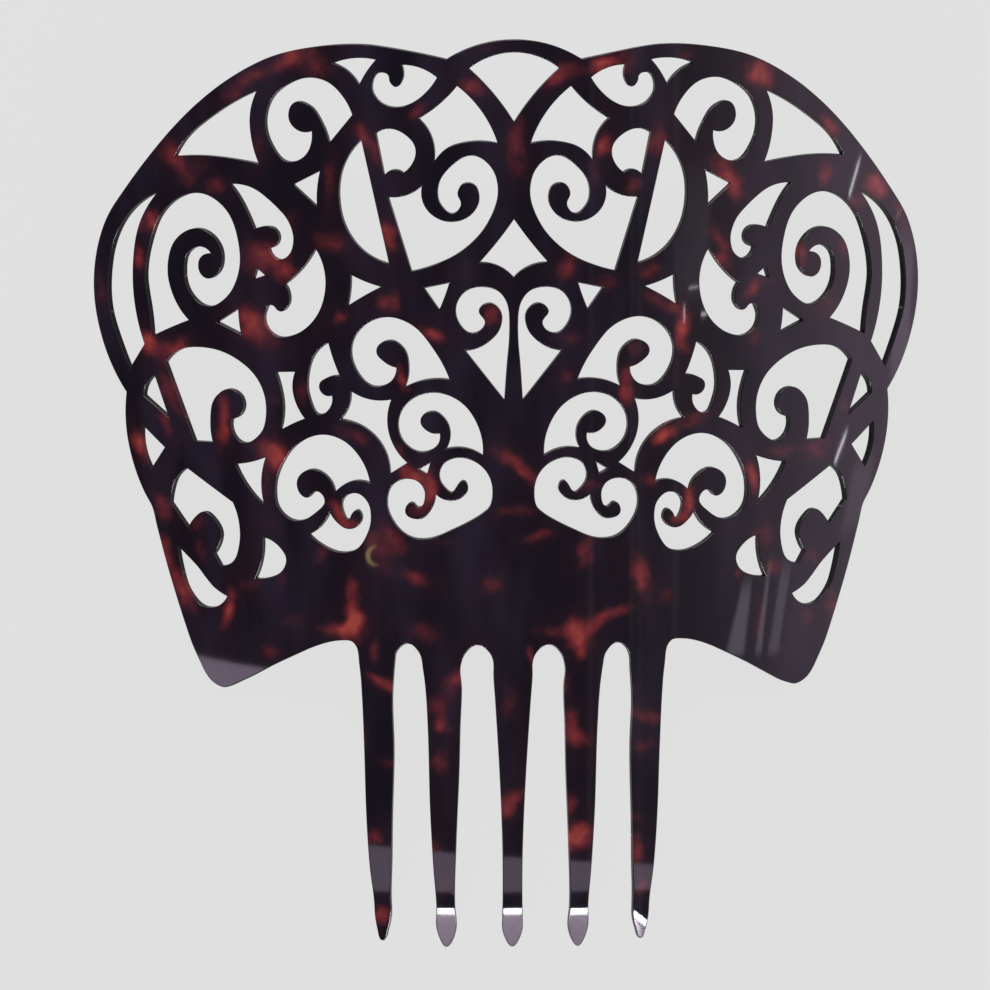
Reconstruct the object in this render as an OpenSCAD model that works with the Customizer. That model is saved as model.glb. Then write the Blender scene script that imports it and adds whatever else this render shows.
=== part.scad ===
/* [Sheet] */
// thickness of the sheet the comb is cut from, mm
sheet_t = 2; // [1.5:0.1:3]
// radius of the bend from side to side, measured on the outer face, mm
bend_r = 165; // [140:1:400]

/* [Size] */
// size of the pattern against the traced one
pattern_scale = 1; // [0.8:0.01:1.2]

/* [Teeth] */
// length of the slanted facet at each tooth tip, mm
facet_len = 9.5; // [4:0.5:16]
// how much of the thickness the facet takes away at the tip, mm
facet_depth = 0.9; // [0.2:0.1:1.2]
// how far the facet of the right tooth is turned from square, degrees
facet_skew = 35; // [0:5:45]

/* [Smoothness] */
// largest turn between two points of a curve, degrees
turn_step = 16; // [8:1:30]
// largest distance between a curve and its chord, mm
chord_gap = 0.06; // [0.03:0.01:0.2]

/* [Hidden] */

// Every point below is x from the middle line, y above the tooth roots, kind.
// The right half is given, the left half is its mirror image.
// Kinds of point: corner or smooth
C = 1;
S = 0;

// Outer edge, from the crest to the upper end of the side
crest_edge = [
    [0, 137.9, S], [8, 136.8, S], [15.3, 133.5, C], [24, 135.2, S],
    [33, 136.6, S], [45, 136, S], [55, 133.8, S], [65, 128.9, S],
    [75, 121.5, S], [85, 111.5, S], [92, 103.2, S]
];
// Outer edge, down the side to the lower corner
side_edge = [
    [98, 95, S], [101.6, 80, S], [99.2, 67, S], [92.7, 55.3, C],
    [93, 49.5, S], [90.6, 38, S], [86, 29.2, C], [84.8, 25, S],
    [79, 6.7, S], [73.6, -6.3, S], [71, -10.2, S], [67.7, -11.7, S]
];
// Outer edge, from the lower corner to the first tooth and down to its tip
foot_edge = [
    [64.3, -10.5, S], [56.3, -6.3, S], [49.7, -3, S], [43, -0.2, S],
    [39, 0.5, S], [37, 0.3, S], [36, -0.8, S], [35.4, -4, S],
    [34.7, -12, S], [34.2, -24, S], [33.7, -40, S], [32.9, -52, S],
    [31.9, -60, S], [31.1, -66.6, S], [29.9, -69, S]
];
// Gap between the outer and the inner tooth
outer_gap = [
    [28.6, -66.6, S], [28, -58, S], [27.7, -42, S], [27.3, -24, S],
    [27.2, -6, S], [26.4, -1.6, S], [24, 0.1, S], [21.7, -1.6, S],
    [20.6, -6, S], [19.9, -12, S], [19.4, -24, S], [18.9, -40, S],
    [18.2, -52, S], [17.5, -61, S], [16.8, -68.4, S], [15.2, -70.4, S]
];
// Gap between the inner tooth and the middle one
inner_gap = [
    [13.6, -68.6, S], [13.2, -61, S], [12.9, -46, S], [12.2, -28, S],
    [11.7, -10, S], [11.2, -2.6, S], [8.2, -0.1, S], [5.1, -2.3, S],
    [4.5, -7, S], [3.8, -20, S], [3.2, -36, S], [2.7, -50, S],
    [2.3, -61, S], [1.7, -68.3, S], [0, -70.3, S]
];

// Openings on the middle line, each given as its right half
middle_openings = [
    // fan under the crest
    [[0, 135, S], [6, 133.8, S], [10.2, 131.4, C], [5, 126.2, S], [0, 119.4, C]],
    // star between the scrolls
    [[0, 97.3, C], [3.7, 92.3, S], [7.7, 87.6, C], [4, 87, S], [0, 84.2, C]]
];

// Openings along the crest
crest_openings = [
    // hook beside the fan
    [[12.9, 127.4, C], [16.3, 123.8, S], [21.5, 120, C], [19.2, 117.2, S],
     [18, 113.5, S], [18, 110.5, C], [15.2, 113.4, S], [10.5, 114.9, S],
     [3.8, 114.6, C], [7.6, 122, S]],
    // curled leaf beside the fan
    [[25.4, 132.1, C], [22.5, 131.8, S], [17.5, 129.3, C], [20.2, 125.8, S],
     [23.5, 123.4, S], [27, 122.6, S], [30.6, 123.9, S], [32.2, 127.3, S],
     [30.2, 130.3, S], [28.7, 129.9, S], [28.1, 128.1, S], [26.9, 127.1, S],
     [25.2, 128.8, S], [25, 130.5, S]],
    // small three-cornered opening in the upper rim
    [[41.1, 132.3, C], [36, 133.5, S], [31.4, 133.2, C], [33.6, 130.4, S],
     [35.2, 127.5, C], [37.2, 130.1, S]],
    // large comma
    [[46, 128.9, S], [51.5, 127.4, S], [55.6, 123.9, S], [57.1, 119.3, S],
     [55.9, 113.9, S], [51.5, 109.8, S], [48, 111.1, S], [46.2, 115, S],
     [46.2, 116.8, C], [49.4, 116.9, S], [51.7, 120.3, S], [50, 123.4, S],
     [46.8, 122.7, S], [43.9, 119, S], [42.1, 114.3, C], [36.8, 120.7, C],
     [39.3, 125.2, S], [42.5, 128, S]],
    // leaf under the shoulder
    [[59.3, 125.6, C], [70, 119.7, S], [77.3, 113.6, S], [79.5, 110.2, C],
     [72, 110.6, S], [65, 110.1, S], [58.8, 109.2, C], [60.6, 115, S],
     [60.8, 121, S]]
];

// Openings of the upper middle
upper_openings = [
    // small one between the leaves
    [[50.6, 104.6, C], [44.3, 107.8, C], [44.95, 104, S], [45, 99.8, C]],
    // half moon
    [[34.7, 114.9, C], [38.8, 109, S], [39.8, 101.7, S], [38, 94.7, S],
     [34.5, 90.2, S], [28.4, 87.2, C]],
    // thumb over the scroll
    [[31.3, 116.5, C], [28.8, 117.6, S], [24.8, 116.4, S], [22.4, 113.3, S],
     [23.4, 109.4, S], [25.1, 107.8, C], [26.9, 108.5, S], [29.4, 107.1, C]],
    // large scroll beside the star
    [[28.5, 102.2, C], [25.6, 102.3, S], [20.9, 104.7, C], [20.6, 100.9, S],
     [18, 97.8, S], [13.5, 96.7, S], [9.3, 98.7, S], [7.8, 102.4, S],
     [9.2, 105.3, S], [11.5, 105.4, S], [12.8, 103.4, S], [12.1, 100.5, S],
     [13.7, 98.7, S], [16.4, 100.4, S], [17.2, 104.3, S], [14.2, 109.3, S],
     [9.3, 111.7, S], [5.2, 109, S], [3.7, 104.5, S], [5.6, 97.2, S],
     [11.4, 90.5, S], [19.5, 86.5, S], [23.2, 85.5, C]],
    // small one beside the large scroll
    [[37.1, 84.4, C], [33.5, 82.8, S], [30.2, 81.8, C], [33.8, 79.9, S],
     [37.8, 77.4, C], [37.2, 81.2, S]],
    // three-cornered one beside the heart
    [[20.3, 81.6, C], [14.7, 82.8, C], [15.9, 79.3, S], [16.9, 76.8, C]]
];

// Openings of the shoulder
shoulder_openings = [
    // long crescent along the rim
    [[84.4, 101.5, C], [88.7, 95, S], [90.8, 84, S], [90.2, 75, S],
     [87.8, 66.7, C], [91.8, 60.8, C], [94.2, 66, S], [97.3, 75, S],
     [97.4, 83, S], [95.8, 90, S], [91.5, 96.8, S]],
    // round scroll
    [[73, 101.9, S], [67.3, 98.9, S], [63.9, 91.5, S], [64, 83.5, S],
     [67, 78.3, S], [71, 76.2, S], [75.8, 79, S], [77.3, 84, S],
     [76, 88.5, S], [73, 89.7, S], [70.5, 88.2, C], [73.2, 87.3, S],
     [73.8, 85.3, S], [71.7, 82.5, S], [68.7, 84, S], [67.7, 87.5, S],
     [69.5, 91.8, S], [73.7, 93.9, S], [79, 91.7, S], [81.6, 85, S],
     [80, 77.8, S], [76.3, 72.8, C], [80.7, 71, S], [85.7, 68.7, C],
     [86.4, 75, S], [87.5, 82, S], [86.2, 90, S], [82.3, 97.8, S],
     [78.5, 100.7, S]],
    // hook under the leaf
    [[65.8, 104.3, C], [61, 103.8, S], [55.5, 100.2, S], [51.5, 95.7, S],
     [50.6, 91.7, S], [52, 88.3, S], [53.8, 87.5, S], [55.4, 88.2, S],
     [56.3, 90, C], [54.2, 91.2, S], [53.9, 92.7, S], [55.3, 94.7, S],
     [57, 95, S], [59.8, 94.2, C], [61.7, 98.3, S], [63.8, 101.9, S]],
    // smallest one
    [[59.3, 85.3, C], [57.4, 83.8, C], [60.1, 82.8, C]],
    // comma under the half moon
    [[45.3, 90.1, C], [43.5, 86, S], [43.3, 79.8, S], [46, 73.7, S],
     [50.5, 70.4, S], [54.3, 69.9, S], [57, 72, S], [57.3, 75.3, S],
     [56, 77, S], [54.9, 76.4, C], [53.7, 75.6, S], [51.8, 77, S],
     [51.5, 79.5, S], [52.5, 81.8, C], [48.7, 85.2, S]],
    // three-cornered one beside the round scroll
    [[63.9, 75.8, C], [69, 72.6, C], [63.2, 70.1, C], [63.7, 73, S]]
];

// Openings of the lower middle
heart_openings = [
    // half heart on the middle line
    [[6.5, 81.9, S], [10.9, 80.9, S], [13.1, 77, S], [12.2, 73.5, S],
     [9.7, 71.5, S], [6.6, 73.6, S], [7.9, 76.8, S], [6, 78.3, S],
     [3, 76.6, S], [2.9, 73, S], [5.7, 69.4, S], [10.9, 67.4, C],
     [2.1, 56.3, C], [1.5, 65, S], [1, 74, S], [1.6, 78.3, S],
     [3.6, 81, S]],
    // scroll beside the heart
    [[28.7, 74.9, S], [33.7, 73.1, S], [36.9, 68.5, S], [36.2, 63.3, S],
     [31, 59.1, S], [27.8, 60.5, S], [26.7, 63.4, C], [29.5, 64.7, S],
     [31.3, 67, S], [28.3, 69.7, S], [25, 67.9, S], [23.8, 63.5, S],
     [24.6, 59.1, C], [19.5, 60.9, S], [14.6, 60.9, C], [18.3, 67.8, S],
     [23.7, 73.5, S]],
    // thumb beside the scroll
    [[42.4, 68.7, C], [45.5, 66, S], [47.1, 61.5, S], [46.7, 55.7, S],
     [44.4, 52.4, S], [42, 54.1, S], [41.6, 56.7, C], [43.9, 57.2, S],
     [44.5, 59.4, S], [42.8, 60.8, S], [39.8, 61.4, C], [41.3, 65.1, S]],
    // small one beside the thumb
    [[54.8, 61.7, C], [50.3, 61.9, C], [50.9, 58.5, S], [50, 54.6, S],
     [48, 51.3, C], [51.2, 49.9, S], [53.7, 48.5, C], [53, 54, S],
     [53.7, 58.3, S]],
    // bent leaf
    [[37.2, 57.9, C], [32.5, 56, S], [27.9, 56.1, C], [28.8, 51, S],
     [27.4, 45.7, S], [24.2, 41.7, C], [28.1, 39.2, C], [29.9, 45.6, S],
     [33.5, 49.3, S], [39.4, 51.4, C], [37.5, 54.8, S]],
    // comma under the heart
    [[18, 57.8, S], [23.5, 55.9, S], [26.2, 51.3, S], [24.8, 46.3, S],
     [20.5, 44.3, S], [17, 46.5, S], [16.8, 48.5, C], [19.6, 49, S],
     [21.2, 51.5, S], [18.7, 53.6, S], [15.5, 51.8, S], [14.3, 48, S],
     [15.2, 45.1, C], [11.7, 45.4, S], [7, 43.6, C], [8.1, 50.2, S],
     [12.5, 56, S]]
];

// Openings of the lower side
side_openings = [
    // scroll under the shoulder
    [[82.3, 62.7, C], [80, 65, S], [72, 66.6, S], [64.3, 64.3, S],
     [59, 59.5, S], [57.2, 53, S], [58.8, 47.3, S], [63, 45.3, S],
     [65.5, 48, S], [65.5, 50.5, C], [62.9, 52.2, S], [63.2, 55.9, S],
     [66.2, 57.4, S], [69.6, 55.4, S], [70.9, 50, S], [70.3, 45, C],
     [74.9, 45, C]],
    // three-cornered one by the rim
    [[85.1, 59.5, C], [81.5, 50.1, C], [88, 54.8, C], [87.3, 57.3, S]],
    // small drop by the rim
    [[88.5, 48, C], [82.6, 43.1, C], [86.2, 37.9, C], [88.2, 42.5, S]],
    // ear with a bulb
    [[76.8, 38.6, C], [79.3, 36.5, S], [80.6, 33.3, S], [81.1, 30.4, C],
     [76.6, 24.8, C], [75, 27.3, S], [72.7, 28.8, S], [69.8, 27, S],
     [68.2, 23.5, S], [68.7, 21.4, S], [70, 19.1, C], [68.4, 16.5, C],
     [65.6, 17.5, S], [63.9, 21.5, S], [63.8, 26, S], [65.4, 31.3, C]],
    // long drop
    [[79.3, 20.4, C], [78.4, 15.5, S], [76.3, 10, S], [72.5, 6.8, S],
     [69.3, 7.1, S], [66.9, 9.5, C], [70, 11.3, S], [74, 15.7, S]],
    // fin
    [[58, 23.6, C], [58.1, 19.5, S], [59.8, 14, C], [56.5, 14.4, S],
     [53.3, 16.3, S], [52.5, 18.8, S], [54, 21.4, S]],
    // thorn
    [[64.7, 40.2, C], [61.3, 40.7, S], [57.4, 42, C], [58.4, 37, S],
     [57.7, 31, C], [61.2, 34.5, S]]
];

// Openings over the band
band_openings = [
    // arch with a bulb
    [[43, 47.7, S], [49, 45.8, S], [53.3, 40.7, S], [55, 35, S],
     [54.1, 30.3, S], [50, 27.8, S], [45.6, 29.7, S], [43.4, 32.9, S],
     [44.9, 34.6, S], [47.6, 33.1, S], [49.9, 36, S], [46.7, 39.7, S],
     [43, 38.4, S], [40.9, 34.6, C], [38.9, 36.4, S], [35.7, 37.5, S],
     [32.8, 37, C], [35.3, 43, S], [38.7, 46.3, S]],
    // pear with a curl
    [[46.9, 24.7, C], [43.9, 26.9, S], [42.1, 29.9, C], [40.6, 27.8, S],
     [37.7, 26.2, S], [35.3, 27.2, S], [34.6, 29.2, S], [35.8, 30.7, S],
     [36.9, 29.9, S], [37.9, 28.5, S], [38.8, 29.8, S], [39.2, 32.2, S],
     [36.2, 34.5, S], [33.4, 32.6, S], [32.6, 29.3, S], [33.7, 24.7, S],
     [36.2, 21.5, S], [39.5, 20.9, S], [43.7, 22.3, S]],
    // smallest one under the comma
    [[21.5, 40.2, C], [19, 41.7, C], [19.7, 39.2, C]],
    // wide one with two curls
    [[24.5, 38, S], [27.6, 36.4, S], [28.8, 33, S], [27.4, 28.3, S],
     [23, 24.6, S], [19.5, 24.4, S], [14.3, 26.3, S], [8, 29.7, S],
     [5.6, 31.5, S], [4.8, 35, S], [6.2, 39.8, S], [9.3, 42.3, S],
     [13, 42.9, S], [16, 41.3, S], [16.8, 38.7, S], [15.4, 36, S],
     [14, 35.1, S], [12.9, 36.4, S], [11.4, 37.8, S], [10.3, 36.3, S],
     [11.5, 34, S], [14.4, 33.1, S], [17.7, 34.6, C], [18.4, 31.5, S],
     [21.5, 28.8, S], [24.7, 30.8, S], [23.2, 32.7, S], [21.4, 31.6, S],
     [20.2, 33.9, S], [21.5, 37.2, S]]
];

// Curves through the points
// unit vector, and the way a line turns back about a chord
function unit(a) = a / norm(a);
function mirrored_way(t, c) = 2 * (t * c) * c - t;
function xy(k) = [k[0], k[1]];
function turn(a, b) = acos(max(-1, min(1, a * b)));

// direction of the curve at a smooth point: that of the circle through three points
function way(p, q, r) = unit(unit(q - p) * norm(r - q) + unit(r - q) * norm(q - p));

// points of one stretch, its last point left out
function arc_points(p, q, a, b) =
    let (
        c = unit(q - p),
        len = norm(q - p),
        bend = turn(a, c) + turn(b, c),
        h = len / 3 / pow(cos(bend / 4), 2),
        n = max(1, ceil(bend / turn_step), ceil(sqrt(len * bend * PI / 1440 / chord_gap)))
    )
    [for (i = [0:n - 1])
        let (s = i / n, r = 1 - s)
        p * pow(r, 3) + 3 * (p + a * h) * pow(r, 2) * s
            + 3 * (q - b * h) * r * pow(s, 2) + q * pow(s, 3)];

// one stretch between two neighbours, with the points before and after them
function stretch(o, p, q, r) =
    let (
        c = unit(xy(q) - xy(p)),
        a = way(xy(o), xy(p), xy(q)),
        b = way(xy(p), xy(q), xy(r)),
        a2 = p[2] == S ? a : q[2] == S ? mirrored_way(b, c) : c,
        b2 = q[2] == S ? b : p[2] == S ? mirrored_way(a, c) : c
    )
    p[2] == C && q[2] == C ? [xy(p)] : arc_points(xy(p), xy(q), a2, b2);

// closed curve
function loop(k) =
    let (n = len(k))
    [for (i = [0:n - 1])
        each stretch(k[(i + n - 1) % n], k[i], k[(i + 1) % n], k[(i + 2) % n])];

// open curve from the second point of a list to its last but one
function run(k) =
    let (n = len(k))
    concat([for (i = [1:n - 3]) each stretch(k[i - 1], k[i], k[i + 1], k[i + 2])],
        [xy(k[n - 2])]);

function mirrored_knot(k) = [-k[0], k[1], k[2]];
function mirrored_knots(k) = [for (i = [len(k) - 1:-1:0]) mirrored_knot(k[i])];
function scaled(points) = points * pattern_scale;

// half outline with a little of the other half at both ends
half_outline = concat(
    [for (i = [2, 1]) mirrored_knot(crest_edge[i])],
    crest_edge, side_edge, foot_edge, outer_gap, inner_gap,
    [for (i = [13, 12]) mirrored_knot(inner_gap[i])]
);
edge_line = scaled(run(half_outline));

// Points of the outline between two of its traced points
function nearest(k) =
    let (
        p = scaled(xy(k)),
        d = [for (q = edge_line) norm(q - p)],
        m = min(d)
    )
    [for (i = [0:len(d) - 1]) if (d[i] == m) i][0];
function piece_of_edge(from, to) = [for (i = [nearest(from):nearest(to)]) edge_line[i]];

// a stretch with both its end lines drawn out, so that neighbouring strips cross in the waste
function lapped(points) =
    let (
        n = len(points),
        first = unit(points[1] - points[0]),
        last = unit(points[n - 1] - points[n - 2])
    )
    concat(
        [points[0] - lap * first],
        [for (i = [1:n - 2]) points[i]],
        [points[n - 1] + lap * last]
    );

// Overall size of the flat pattern
half_w = max([for (p = edge_line) p[0]]);
crest_v = max([for (p = edge_line) p[1]]);
tip_v = min([for (p = edge_line) p[1]]);

// Form of the bent sheet
inner_r = bend_r - sheet_t;
margin = 3;
lap = 1.2;
function at(u) = u / bend_r * 180 / PI;
function back_z(u) = inner_r * cos(at(u)) - bend_r;

// Rest on a level floor: the line under both sides that carries the weight
weight_v = 50 * pattern_scale;
side_points = [for (p = edge_line) if (p[1] < crest_v && p[0] > 0) [p[1], back_z(p[0])]];
rest_lines = [
    for (a = side_points) if (a[0] > weight_v)
        for (b = side_points) if (b[0] < weight_v)
            let (slope = (a[1] - b[1]) / (a[0] - b[0]))
            [a[1] + slope * (weight_v - a[0]), slope, a]
];
lowest = min([for (l = rest_lines) l[0]]);
rest_line = [for (l = rest_lines) if (l[0] == lowest) l][0];
rest_tilt = -atan(rest_line[1]);
rest_lift = -(rest_line[2][0] * sin(rest_tilt) + rest_line[2][1] * cos(rest_tilt));

// Middle of the length once it rests
far_y = crest_v * cos(rest_tilt) + sheet_t * sin(rest_tilt);
near_y = tip_v * cos(rest_tilt) + facet_depth * sin(rest_tilt);
mid_y = (far_y + near_y) / 2;

// a cut through the sheet, square to it at the middle of the outline given
module cut(points, mirrored = false) {
    u = [for (p = points) p[0]];
    mid = (max(u) + min(u)) / 2;
    side = mirrored ? -1 : 1;
    deep = sheet_t + 2 * margin + 12 * max(0, (max(u) - mid) / bend_r);
    local = [for (p = points) [side * bend_r * sin(at(p[0] - mid)), p[1]]];
    translate([0, 0, -bend_r])
        rotate([0, side * at(mid), 0])
            translate([0, 0, bend_r + margin - deep])
                linear_extrude(deep) polygon(local);
}

module both_sides(points) {
    cut(points);
    cut(points, true);
}

// blank: a bent plate somewhat larger than the comb
module blank() {
    span = at(half_w + margin);
    length = crest_v - tip_v + 2 * margin;
    translate([0, tip_v - margin, -bend_r])
        rotate([-90, 0, 0])
            rotate([0, 0, -90 - span])
                rotate_extrude(angle = 2 * span, $fn = 90)
                    translate([inner_r, 0]) square([sheet_t, length]);
}

// openings of the pattern
module openings() {
    for (table = [crest_openings, upper_openings, shoulder_openings,
            heart_openings, side_openings, band_openings])
        for (knots = table)
            both_sides(scaled(loop(knots)));
    for (knots = middle_openings) {
        inside = [for (k = knots) if (k[0] > 0) k];
        cut(scaled(loop(concat(knots, mirrored_knots(inside)))));
    }
}

// strip of waste from a stretch of the outline straight up or down to a level
module strip(points, level) {
    edge = lapped(points);
    ends = [edge[len(edge) - 1][0], edge[0][0]];
    both_sides(concat(edge, [for (x = ends) [x, level]]));
}

// waste outside the outline; its strips meet where the outline bulges
module waste() {
    top = crest_v + 2 * margin;
    low = tip_v - 2 * margin;
    out = half_w + 3 * margin;
    half_crest = piece_of_edge(crest_edge[0], crest_edge[4]);
    other_half = [for (i = [len(half_crest) - 1:-1:1]) [-half_crest[i][0], half_crest[i][1]]];
    crest = lapped(concat(other_half, half_crest));
    cut(concat(crest, [for (i = [len(crest) - 1, 0]) [crest[i][0], top]]));
    strip(piece_of_edge(crest_edge[4], crest_edge[7]), top);
    strip(piece_of_edge(side_edge[11], foot_edge[14]), low);
    strip(piece_of_edge(foot_edge[14], outer_gap[15]), low);
    strip(piece_of_edge(outer_gap[15], inner_gap[14]), low);
    side = lapped(piece_of_edge(crest_edge[7], side_edge[11]));
    both_sides(concat(side, [
        [side[len(side) - 1][0], low], [out, low], [out, top], [side[0][0], top]
    ]));
}

// slanted facet on the outer face of one tooth tip
module facet(u, start, skew) {
    w = 11 * pattern_scale;
    slope = atan(facet_depth / facet_len);
    translate([0, 0, -bend_r])
        rotate([0, at(u), 0])
            translate([0, tip_v + start, bend_r])
                rotate([0, 0, skew])
                    rotate([slope, 0, 0])
                        translate([-w / 2, -2 * facet_len, 0]) cube([w, 2 * facet_len, margin]);
}

// the left tooth has none, and that of the right tooth runs aslant
module facets() {
    inner_tip = outer_gap[15][0] * pattern_scale;
    outer_tip = foot_edge[14][0] * pattern_scale;
    for (u = [-inner_tip, 0, inner_tip]) facet(u, facet_len, 0);
    facet(outer_tip, facet_len - 1, -facet_skew);
}

// the comb, cut and bent, lying on its hollow side
module comb() {
    color([0.14, 0.08, 0.09])
        translate([0, -mid_y, rest_lift])
            rotate([rest_tilt, 0, 0])
                difference() {
                    blank();
                    openings();
                    waste();
                    facets();
                }
}

comb();
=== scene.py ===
"""A tortoiseshell hair comb, lying on a pale floor, looked at from above.

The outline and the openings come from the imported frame: the edges of its outer face are read,
smoothed and given rounded rims, and the sheet between them is meshed finely enough to carry
the mottling. The sheet's own places are in mm: u along the bend from the middle line, v up
from the roots of the teeth, w down into the sheet from its outer face.
"""

import math

import bmesh
import bpy
import numpy as np
from mathutils import Matrix, Vector, geometry, kdtree, noise


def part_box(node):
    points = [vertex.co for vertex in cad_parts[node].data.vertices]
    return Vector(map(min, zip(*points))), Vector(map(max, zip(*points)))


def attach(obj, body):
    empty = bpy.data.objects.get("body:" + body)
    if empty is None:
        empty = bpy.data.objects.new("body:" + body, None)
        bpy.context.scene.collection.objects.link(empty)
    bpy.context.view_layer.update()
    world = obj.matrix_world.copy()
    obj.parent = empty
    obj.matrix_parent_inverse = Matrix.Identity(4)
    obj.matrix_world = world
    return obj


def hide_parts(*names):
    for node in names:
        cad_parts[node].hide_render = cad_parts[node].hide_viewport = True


MM = 0.001

# The sheet, as in the part's source
SHEET = 2.0
BEND_R = 165.0
CREST_V = 137.9
TILT = math.radians(9.1259)
RIM = 0.25

# The camera
YAW = math.radians(2.8)
PITCH = math.radians(8.0)
ROLL = math.radians(-0.1)
DISTANCE = 1500.0
LENS = 239.45
SENSOR = 36.0
AIM = (4.146, -34.17)

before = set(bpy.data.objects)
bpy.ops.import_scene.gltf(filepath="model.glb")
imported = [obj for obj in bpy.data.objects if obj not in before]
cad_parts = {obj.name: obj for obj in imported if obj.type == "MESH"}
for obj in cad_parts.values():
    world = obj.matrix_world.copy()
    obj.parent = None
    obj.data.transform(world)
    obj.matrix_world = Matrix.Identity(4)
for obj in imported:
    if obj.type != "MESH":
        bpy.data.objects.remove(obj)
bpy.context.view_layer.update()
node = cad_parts["comb"]
high_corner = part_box("comb")[1]
LIFT = high_corner.z / MM - CREST_V * math.sin(TILT)
MID_Y = CREST_V * math.cos(TILT) + SHEET * math.sin(TILT) - high_corner.y / MM


# Sheet and frame
def place(u, v, w):
    """Frame places, in mm, of places on the sheet."""
    a = u / BEND_R
    x = (BEND_R - w) * np.sin(a)
    z = (BEND_R - w) * np.cos(a) - BEND_R
    y2 = v * math.cos(TILT) - z * math.sin(TILT) - MID_Y
    z2 = v * math.sin(TILT) + z * math.cos(TILT) + LIFT
    return np.stack([x, y2, z2], -1)


def turned(u, du, dv, dn):
    """Frame direction of one that is du along the bend, dv up the sheet and dn out of it."""
    a = u / BEND_R
    x = du * np.cos(a) + dn * np.sin(a)
    z = -du * np.sin(a) + dn * np.cos(a)
    y2 = dv * math.cos(TILT) - z * math.sin(TILT)
    z2 = dv * math.sin(TILT) + z * math.cos(TILT)
    return np.stack([x, y2, z2], -1)


def on_sheet(points):
    """u and v of frame places in mm."""
    y = points[:, 1] + MID_Y
    z = points[:, 2] - LIFT
    v = y * math.cos(TILT) + z * math.sin(TILT)
    z0 = -y * math.sin(TILT) + z * math.cos(TILT)
    return np.stack([BEND_R * np.arctan2(points[:, 0], z0 + BEND_R), v], -1)


# Outline and openings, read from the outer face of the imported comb
FACE_SHARE = 0.8
WELD = 4e-6
TINY = 1e-9


def face_loops():
    """Closed lines round the outer face, in u and v, with the sheet on their left."""
    bm = bmesh.new()
    bm.from_mesh(node.data)
    bmesh.ops.remove_doubles(bm, verts=bm.verts, dist=WELD)
    bmesh.ops.triangulate(bm, faces=bm.faces)
    bm.verts.index_update()
    places = np.array([p.co[:] for p in bm.verts]) / MM
    corners = np.array([[p.index for p in f.verts] for f in bm.faces])
    bm.free()
    a, b, c = (places[corners[:, i]] for i in range(3))
    across = np.cross(b - a, c - a)
    area = np.linalg.norm(across, axis=1)
    middle = (a + b + c) / 3
    flat = on_sheet(middle)
    out = turned(flat[:, 0], 0.0, 0.0, 1.0)
    share = (across * out).sum(1) / np.maximum(area, TINY)
    rest = place(flat[:, 0], flat[:, 1], 0.0)
    depth = ((rest - middle) * out).sum(1)
    on_face = (share > FACE_SHARE) & (depth < SHEET / 2) & (area > TINY)
    follows = {}
    edges = {}
    for a, b, c in corners[on_face]:
        edges.update({(a, b): True, (b, c): True, (c, a): True})
    for p, q in edges:
        if (q, p) not in edges:
            follows.setdefault(p, []).append(q)
    spots = on_sheet(places)
    loops = []
    while follows:
        start = next(iter(follows))
        line = [start]
        step = follows[start].pop()
        if not follows[start]:
            del follows[start]
        while step != start and step in follows:
            line.append(step)
            here = step
            step = follows[here].pop()
            if not follows[here]:
                del follows[here]
        if step == start and len(line) > 2:
            loops.append(spots[line])
    return loops


def unit(a):
    return a / np.linalg.norm(a)


def thinned(line, gap):
    """The line with no point closer to the one before it, or to its own chord, than the gap."""
    keep = [line[0]]
    for p in line[1:]:
        if np.linalg.norm(p - keep[-1]) > 2 * gap:
            keep.append(p)
    if np.linalg.norm(keep[-1] - keep[0]) <= 2 * gap:
        keep.pop()
    changed = True
    while changed:
        changed = False
        i = 0
        while i < len(keep) and len(keep) > 3:
            a, p, b = keep[i - 1], keep[i], keep[(i + 1) % len(keep)]
            d = unit(b - a)
            off = abs(d[0] * (p - a)[1] - d[1] * (p - a)[0])
            ahead = d @ (p - a) > 0 and d @ (b - p) > 0
            if off < gap and ahead:
                keep.pop(i)
                changed = True
            else:
                i += 1
    return np.array(keep)


CORNER_TURN = math.radians(27)
STRAIGHT = 0.012


def way(p, q, r):
    """Direction at q of the circle through three points."""
    return unit(unit(q - p) * np.linalg.norm(r - q) + unit(r - q) * np.linalg.norm(q - p))


def angle(a, b):
    return math.acos(max(-1.0, min(1.0, float(a @ b))))


def smoothed(line, step, bend):
    """A fine closed line through the points, with a mark on each true corner."""
    n = len(line)
    ahead = [unit(line[(i + 1) % n] - line[i]) for i in range(n)]
    corner = [angle(ahead[i - 1], ahead[i]) > CORNER_TURN for i in range(n)]
    points, marks = [], []
    for i in range(n):
        o, p, q, r = (line[j % n] for j in (i - 1, i, i + 1, i + 2))
        c = ahead[i]
        a = c if corner[i] else way(o, p, q)
        b = c if corner[(i + 1) % n] else way(p, q, r)
        if corner[i] and not corner[(i + 1) % n]:
            a = 2 * (b @ c) * c - b
        if corner[(i + 1) % n] and not corner[i]:
            b = 2 * (a @ c) * c - a
        length = np.linalg.norm(q - p)
        turn = angle(a, c) + angle(b, c)
        h = length / 3 / math.cos(turn / 4) ** 2
        count = max(1, math.ceil(length / step), math.ceil(turn / bend))
        for k in range(count):
            s = k / count
            t = 1 - s
            points.append(
                p * t**3 + 3 * (p + a * h) * t * t * s + 3 * (q - b * h) * t * s * s + q * s**3
            )
            marks.append(corner[i] and k == 0)
    return np.array(points), np.array(marks)


# Slanted facets of the teeth
FACET_ANGLE = math.radians(5.4)
FACET_BEND = 2.7
# tooth middle at its tip, where its facet starts, how far it is turned from square in degrees
FACETS = ((-15.2, -60.3, 0.0), (0.0, -60.3, 0.0), (15.2, -60.6, 0.0), (30.3, -63.2, 40.0))
TOOTH_HALF = 7.0


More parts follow.
